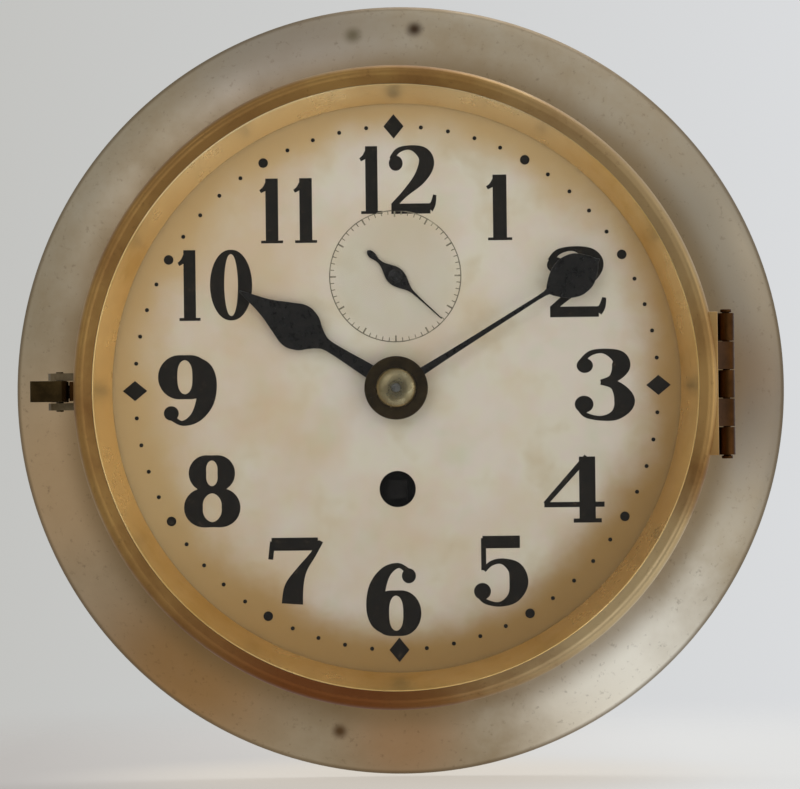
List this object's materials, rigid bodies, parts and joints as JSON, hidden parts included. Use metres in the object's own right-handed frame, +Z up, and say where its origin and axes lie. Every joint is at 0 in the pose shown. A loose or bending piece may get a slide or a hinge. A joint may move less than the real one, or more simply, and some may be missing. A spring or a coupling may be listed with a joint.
{
  "type": "ship clock",
  "caption": "Round bulkhead clock: nickel plated case with wall flange, hinged brass door, six inch silvered dial, spade hands, seconds hand, lever movement.",
  "frame": {"origin": "centre of the case back, on the wall face", "axes": "+Z up towards twelve on the dial, +Y out of the back into the wall, +X to the right towards three; the dial faces -Y"},
  "size_m": [0.213, 0.07, 0.213],
  "materials": {
    "nickel_plate": "worn nickel plate on brass, satin with fine scratches",
    "nickel_fitting": "dull nickel plate, rubbed to brass at the edges",
    "door_brass": "aged polished brass",
    "reflector_brass": "polished brass with light staining",
    "dark_brass": "brown tarnished brass",
    "movement_brass": "clean lacquered brass",
    "dial_silver": "silvered brass dial, stained brown round the edge",
    "glass": "clear glass",
    "hand_black": "black enamelled steel",
    "steel": "ground steel",
    "blued_steel": "blued steel",
    "latch_dark": "dark bronzed brass",
    "ruby": "polished ruby"
  },
  "bodies": {
    "case": {"case_body": "nickel_plate", "hinge_leaf_case": "dark_brass", "hinge_pin": "dark_brass", "latch_bracket": "nickel_fitting", "latch_pin": "nickel_fitting", "latch_spring": "steel", "fitting_screws": "steel", "movement_posts": "movement_brass", "post_screws": "blued_steel", "dial": "dial_silver", "dial_feet": "movement_brass", "dial_pins": "movement_brass", "back_plate": "movement_brass", "front_plate": "movement_brass", "plate_pillars": "movement_brass", "pillar_screws": "blued_steel", "minute_wheel_post": "steel", "click_screw": "blued_steel", "click_spring": "steel", "balance_cock": "movement_brass", "hairspring": "blued_steel", "hairspring_stud": "steel", "escapement_bridge": "movement_brass", "escapement_screws": "blued_steel", "banking_pins": "movement_brass"},
    "door": {"door_ring": "door_brass", "door_glass": "glass", "reflector_ring": "reflector_brass", "reflector_screws": "movement_brass", "door_strike": "dark_brass"},
    "latch": {"latch_lever": "latch_dark"},
    "centre_train": {"centre_arbor": "steel", "centre_wheel": "movement_brass", "cannon_pinion": "steel", "minute_hand": "hand_black", "hand_nut": "reflector_brass"},
    "hour_train": {"hour_wheel": "movement_brass", "hour_hand": "hand_black"},
    "minute_work": {"minute_wheel": "movement_brass"},
    "second_train": {"second_arbor": "steel", "second_wheel": "movement_brass"},
    "third_train": {"third_arbor": "steel", "third_wheel": "movement_brass"},
    "seconds_train": {"fourth_arbor": "steel", "fourth_wheel": "movement_brass", "seconds_hand": "hand_black"},
    "escape_train": {"escape_arbor": "steel", "escape_wheel": "movement_brass"},
    "barrel": {"barrel_drum": "movement_brass", "barrel_cover": "movement_brass", "mainspring": "steel"},
    "winding_arbor": {"barrel_arbor": "steel", "ratchet_wheel": "steel"},
    "click_arm": {"click": "steel"},
    "lever": {"pallet_lever": "steel", "pallet_stones": "ruby", "pallet_arbor": "steel"},
    "balance": {"balance_wheel": "movement_brass", "balance_staff": "steel"},
    "index": {"regulator_index": "steel"}
  },
  "joints": [
    {"name": "door_hinge", "type": "hinge", "parent": "case", "child": "door", "pos_m": [0.0882, -0.056, 0], "axis": [0, 0, 1], "range_deg": [0, 120]},
    {"name": "latch_pivot", "type": "hinge", "parent": "case", "child": "latch", "pos_m": [-0.0905, -0.05, 0], "axis": [0, 0, -1], "range_deg": [-9, 15], "stiffness_Nm_per_rad": 0.02, "springref_deg": -9, "deforming": ["latch_spring"]},
    {"name": "minute_hand_turn", "type": "hinge", "parent": "case", "child": "centre_train", "pos_m": [0, -0.04, 0], "axis": [0, 1, 0], "continuous": true},
    {"name": "hour_hand_turn", "type": "hinge", "parent": "case", "child": "hour_train", "pos_m": [0, -0.047, 0], "axis": [0, 1, 0], "continuous": true},
    {"name": "minute_wheel_turn", "type": "hinge", "parent": "case", "child": "minute_work", "pos_m": [-0.014, -0.045, 0], "axis": [0, 1, 0], "continuous": true},
    {"name": "second_wheel_turn", "type": "hinge", "parent": "case", "child": "second_train", "pos_m": [0.01799, -0.027, -0.00827], "axis": [0, 1, 0], "continuous": true},
    {"name": "third_wheel_turn", "type": "hinge", "parent": "case", "child": "third_train", "pos_m": [-0.01135, -0.027, 0.01622], "axis": [0, 1, 0], "continuous": true},
    {"name": "seconds_hand_turn", "type": "hinge", "parent": "case", "child": "seconds_train", "pos_m": [0, -0.027, 0.03], "axis": [0, 1, 0], "continuous": true},
    {"name": "escape_wheel_turn", "type": "hinge", "parent": "case", "child": "escape_train", "pos_m": [0.01353, -0.027, 0.02507], "axis": [0, 1, 0], "continuous": true},
    {"name": "barrel_turn", "type": "hinge", "parent": "case", "child": "barrel", "pos_m": [0, -0.025, -0.0271], "axis": [0, 1, 0], "continuous": true},
    {"name": "winding_turn", "type": "hinge", "parent": "case", "child": "winding_arbor", "pos_m": [0, -0.025, -0.0271], "axis": [0, 1, 0], "continuous": true},
    {"name": "click_lift", "type": "hinge", "parent": "case", "child": "click_arm", "pos_m": [-0.0108, -0.043, -0.0195], "axis": [0, -1, 0], "range_deg": [0, 12], "stiffness_Nm_per_rad": 0.0005, "springref_deg": -5.73, "deforming": ["click_spring"]},
    {"name": "lever_swing", "type": "hinge", "parent": "case", "child": "lever", "pos_m": [0.01844, -0.017, 0.01657], "axis": [0, 1, 0], "range_deg": [-5, 5]},
    {"name": "balance_swing", "type": "hinge", "parent": "case", "child": "balance", "pos_m": [0.02519, -0.009, 0.00488], "axis": [0, 1, 0], "range_deg": [-270, 270], "stiffness_Nm_per_rad": 0.000023, "deforming": ["hairspring"]},
    {"name": "index_turn", "type": "hinge", "parent": "case", "child": "index", "pos_m": [0.02519, -0.006, 0.00488], "axis": [0, 1, 0], "range_deg": [-25, 25]}
  ],
  "couplings": [
    {"joint": "hour_hand_turn", "follows": "minute_hand_turn", "ratio": 0.083333},
    {"joint": "minute_wheel_turn", "follows": "minute_hand_turn", "ratio": -0.33333},
    {"joint": "second_wheel_turn", "follows": "minute_hand_turn", "ratio": -0.25},
    {"joint": "third_wheel_turn", "follows": "minute_hand_turn", "ratio": -8},
    {"joint": "seconds_hand_turn", "follows": "minute_hand_turn", "ratio": 60},
    {"joint": "escape_wheel_turn", "follows": "minute_hand_turn", "ratio": -480},
    {"joint": "barrel_turn", "follows": "minute_hand_turn", "ratio": 0.041667}
  ]
}
